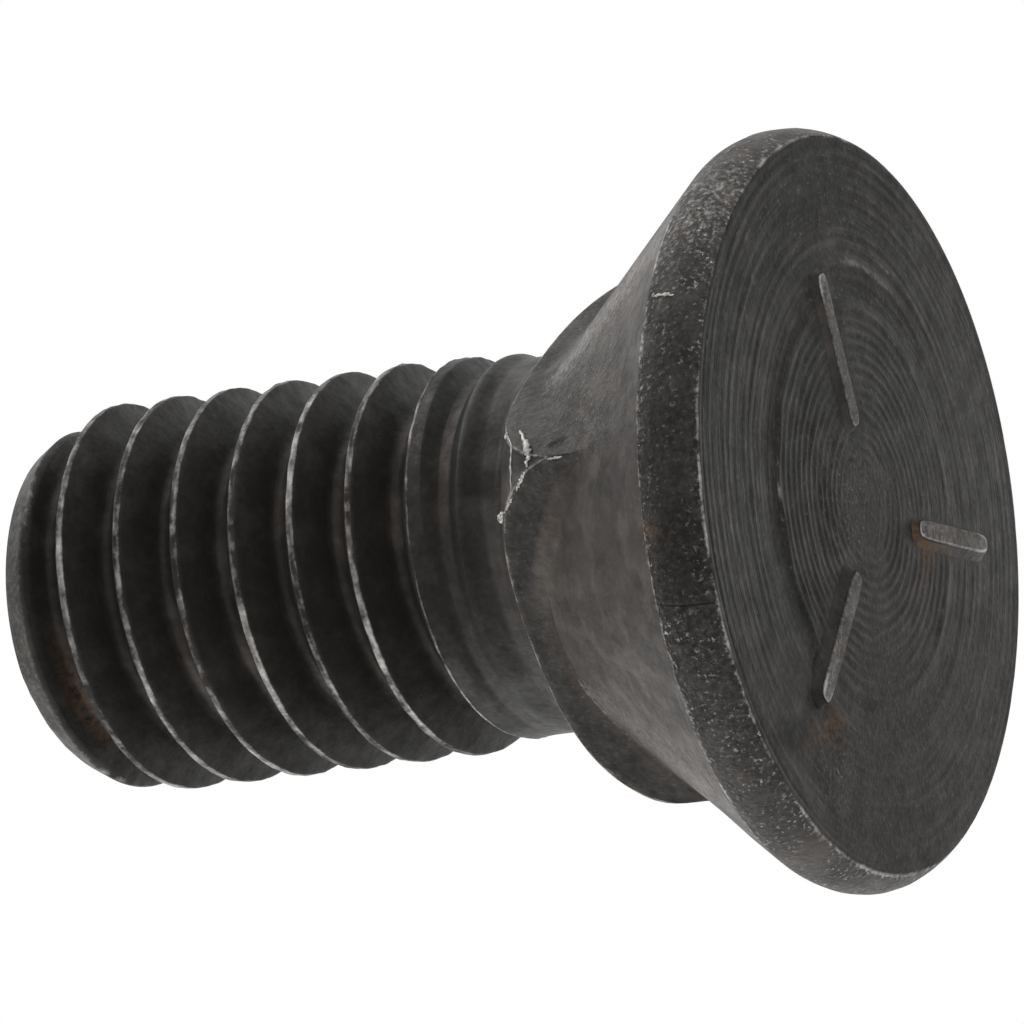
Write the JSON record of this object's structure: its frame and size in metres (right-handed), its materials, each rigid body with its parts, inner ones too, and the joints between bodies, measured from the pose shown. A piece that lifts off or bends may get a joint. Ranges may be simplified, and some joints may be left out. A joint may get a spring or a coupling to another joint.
{
  "type": "plow bolt",
  "caption": "Plow bolt with a flat round countersunk head, a square neck that stops it turning in its hole, and a short coarse-threaded shank in black-finished steel.",
  "frame": {"origin": "centre of the head's flat face, on which the bolt stands", "axes": "+Z along the shank towards the tip; X and Y square to the flats of the neck"},
  "size_m": [0.0208, 0.0208, 0.0241],
  "materials": {
    "black_steel": "black oxide over forged and rolled steel, worn bright on the edges"
  },
  "bodies": {
    "root": {"plow_bolt": "black_steel"}
  },
  "joints": []
}
